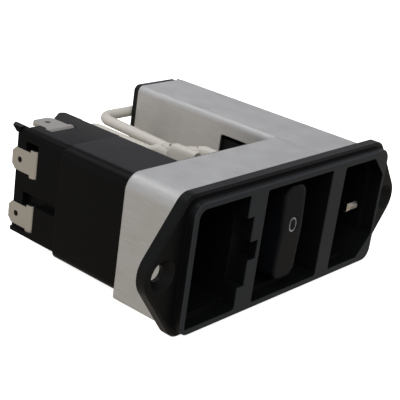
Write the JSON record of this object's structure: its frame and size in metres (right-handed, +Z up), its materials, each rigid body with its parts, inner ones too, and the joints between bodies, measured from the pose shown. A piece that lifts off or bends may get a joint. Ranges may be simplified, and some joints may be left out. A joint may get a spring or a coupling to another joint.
{
  "type": "power entry module",
  "caption": "Filtered power entry module: flanged front with fuse drawer bay, rocker switch and mains inlet, an L-shaped metal can, blade terminals and insulated leads.",
  "frame": {"origin": "middle of the flange's back plane, half way between the two screw holes", "axes": "+X to the right seen from the front, +Y to the rear out of the panel, +Z up"},
  "size_m": [0.0864, 0.0667, 0.03],
  "materials": {
    "front_moulding": "satin black glass-filled thermoplastic",
    "can_sheet": "brushed plated steel sheet",
    "cover_moulding": "satin black",
    "housing_moulding": "semi-gloss black",
    "carrier_moulding": "semi-gloss black",
    "tab_tin": "dull tin plate on brass",
    "switch_moulding": "matt black",
    "rocker_moulding": "satin blue-black",
    "tray_moulding": "matt black",
    "board_laminate": "bare paper laminate",
    "core_ferrite": "coated ferrite",
    "winding_copper": "enamelled copper",
    "capacitor_case": "moulded case",
    "disc_coating": "dipped coating",
    "resistor_coating": "lacquer",
    "strap_brass": "rolled strip",
    "lead_insulation": "smooth extruded insulation",
    "receptacle_brass": "tinned strip",
    "pin_nickel": "nickel plate on brass",
    "clip_bronze": "rolled spring strip",
    "spade_tin": "dull tin plate on brass",
    "plunger_moulding": "natural plastic",
    "lever_brass": "rolled strip"
  },
  "bodies": {
    "module": {"front_housing": "front_moulding", "cross_shield": "can_sheet", "filter_can": "can_sheet", "filter_cover": "cover_moulding", "fuse_housing": "housing_moulding", "terminal_carrier": "carrier_moulding", "side_tab_upper": "tab_tin", "side_tab_lower": "tab_tin", "top_tab": "tab_tin", "switch_body": "switch_moulding", "filter_tray": "tray_moulding", "filter_board": "board_laminate", "choke_core": "core_ferrite", "choke_winding_line": "winding_copper", "choke_winding_neutral": "winding_copper", "x_capacitor": "capacitor_case", "y_capacitor_line": "disc_coating", "y_capacitor_neutral": "disc_coating", "bleed_resistor": "resistor_coating", "earth_strap": "strap_brass", "lead_upper": "lead_insulation", "lead_lower": "lead_insulation", "receptacle_upper_lead": "receptacle_brass", "receptacle_lower_lead": "receptacle_brass", "inlet_pin_line": "pin_nickel", "inlet_pin_neutral": "pin_nickel", "inlet_pin_earth": "pin_nickel", "fuse_clip_left": "clip_bronze", "fuse_clip_right": "clip_bronze", "load_spade_upper_lead": "spade_tin", "load_spade_lower_lead": "spade_tin", "common_spade_right": "spade_tin", "common_spade_left": "spade_tin"},
    "rocker": {"rocker": "rocker_moulding", "plunger_left": "plunger_moulding", "plunger_right": "plunger_moulding"},
    "levers": {"contact_lever_left": "lever_brass", "contact_lever_right": "lever_brass"}
  },
  "joints": [
    {"name": "rocker_tilt", "type": "hinge", "parent": "module", "child": "rocker", "pos_m": [0, 0.0063, 0], "axis": [1, 0, 0], "range_deg": [0, 7]},
    {"name": "lever_tilt", "type": "hinge", "parent": "module", "child": "levers", "pos_m": [0, 0.0146, 0], "axis": [1, 0, 0], "range_deg": [-7, 0]}
  ],
  "couplings": [
    {"joint": "lever_tilt", "follows": "rocker_tilt", "ratio": -1}
  ]
}
